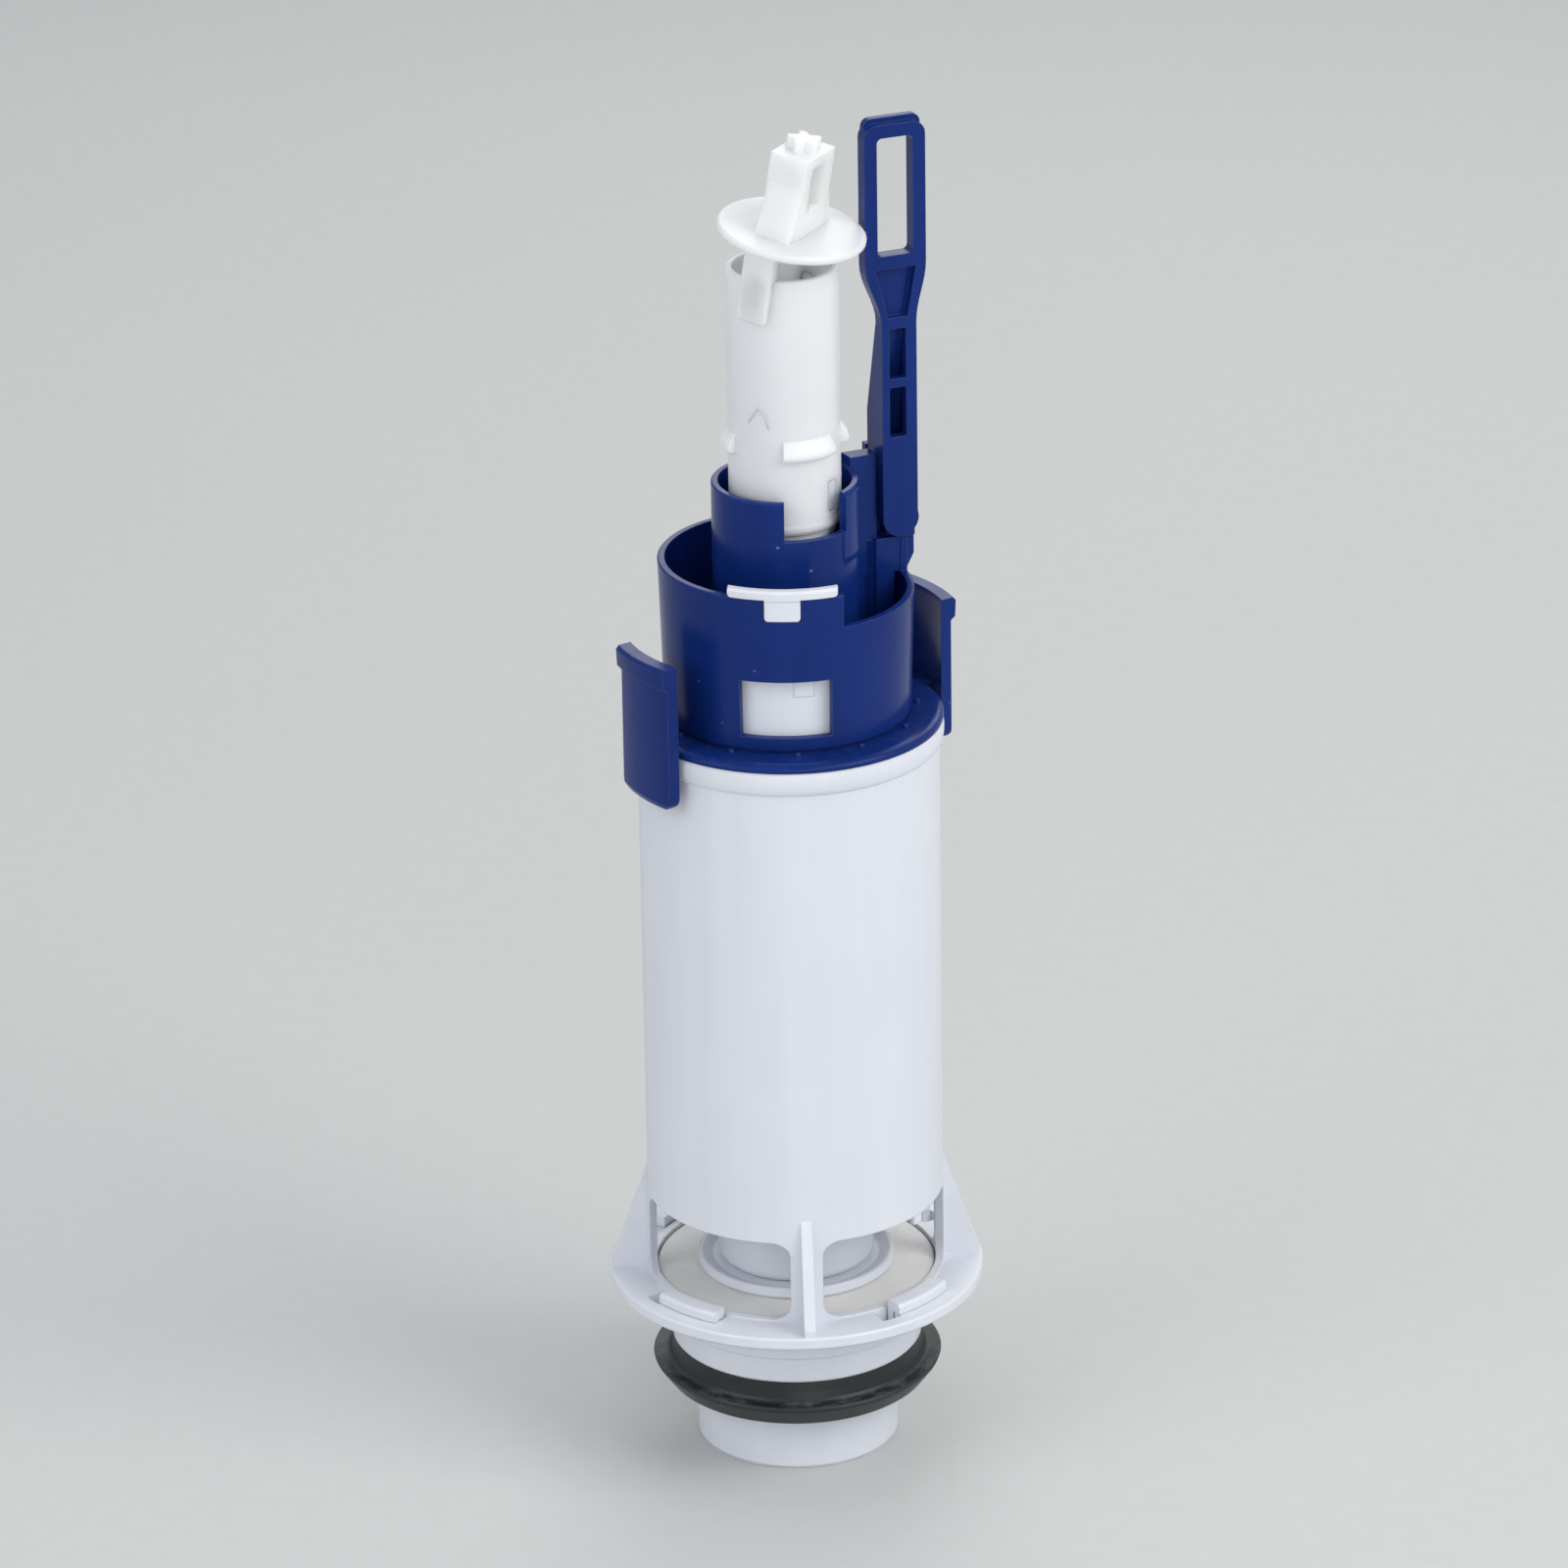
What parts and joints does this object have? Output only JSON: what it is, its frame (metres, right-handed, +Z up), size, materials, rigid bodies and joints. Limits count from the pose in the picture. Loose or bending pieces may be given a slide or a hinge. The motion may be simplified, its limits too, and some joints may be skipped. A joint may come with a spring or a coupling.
{
  "type": "toilet flush valve",
  "caption": "Dual flush cistern valve: white basket housing on an outlet spigot with lip seal, blue control head, overflow tube with lift hook, and a looped lift lever.",
  "frame": {"origin": "centre of the outlet spigot's lower end, where the valve stands", "axes": "+Z up the stem, a housing rib along each of X and Y"},
  "size_m": [0.085, 0.085, 0.312],
  "materials": {
    "white_plastic": "cool white moulded plastic, semi-matte",
    "blue_plastic": "royal blue moulded plastic, semi-gloss",
    "milky_plastic": "milky natural plastic, slightly translucent",
    "silicone": "beige-grey silicone",
    "black_rubber": "black moulded rubber"
  },
  "bodies": {
    "housing": {"outlet_spigot": "white_plastic", "outlet_lip_seal": "black_rubber", "housing_basket": "white_plastic", "head_ring": "blue_plastic", "control_chamber": "blue_plastic", "volume_clip": "white_plastic"},
    "stem": {"overflow_pipe": "white_plastic", "flush_seal": "silicone", "seal_retainer": "white_plastic", "retainer_nut": "white_plastic", "main_float": "white_plastic", "float_clip": "blue_plastic", "overflow_extension": "white_plastic", "overflow_o_ring": "black_rubber"},
    "lift_hook": {"lift_hook": "milky_plastic"},
    "lift_lever": {"lift_lever": "blue_plastic"},
    "half_flush_float": {"half_flush_float": "white_plastic"},
    "latch_left": {"latch_left": "blue_plastic"},
    "latch_right": {"latch_right": "blue_plastic"}
  },
  "joints": [
    {"name": "stem_lift", "type": "slide", "parent": "housing", "child": "stem", "axis": [0, 0, 1], "range_m": [0, 0.02]},
    {"name": "lever_lift", "type": "slide", "parent": "housing", "child": "lift_lever", "axis": [0, 0, 1], "range_m": [0, 0.02]},
    {"name": "half_float_slide", "type": "slide", "parent": "housing", "child": "half_flush_float", "axis": [0, 0, 1], "range_m": [0, 0.008]},
    {"name": "latch_left_press", "type": "hinge", "parent": "housing", "child": "latch_left", "pos_m": [-0.03214, -0.01782, 0.1769], "axis": [-0.4848, 0.8746, 0], "range_deg": [0, 8], "stiffness_Nm_per_rad": 0.15},
    {"name": "latch_right_press", "type": "hinge", "parent": "housing", "child": "latch_right", "pos_m": [0.03214, 0.01782, 0.1769], "axis": [0.4848, -0.8746, 0], "range_deg": [0, 8], "stiffness_Nm_per_rad": 0.15},
    {"name": "hook_rock", "type": "hinge", "parent": "stem", "child": "lift_hook", "pos_m": [0, 0, 0.2749], "axis": [-0.5446, -0.8387, 0], "range_deg": [0, 19.4]}
  ],
  "couplings": [
    {"joint": "lever_lift", "follows": "stem_lift", "ratio": 1}
  ]
}
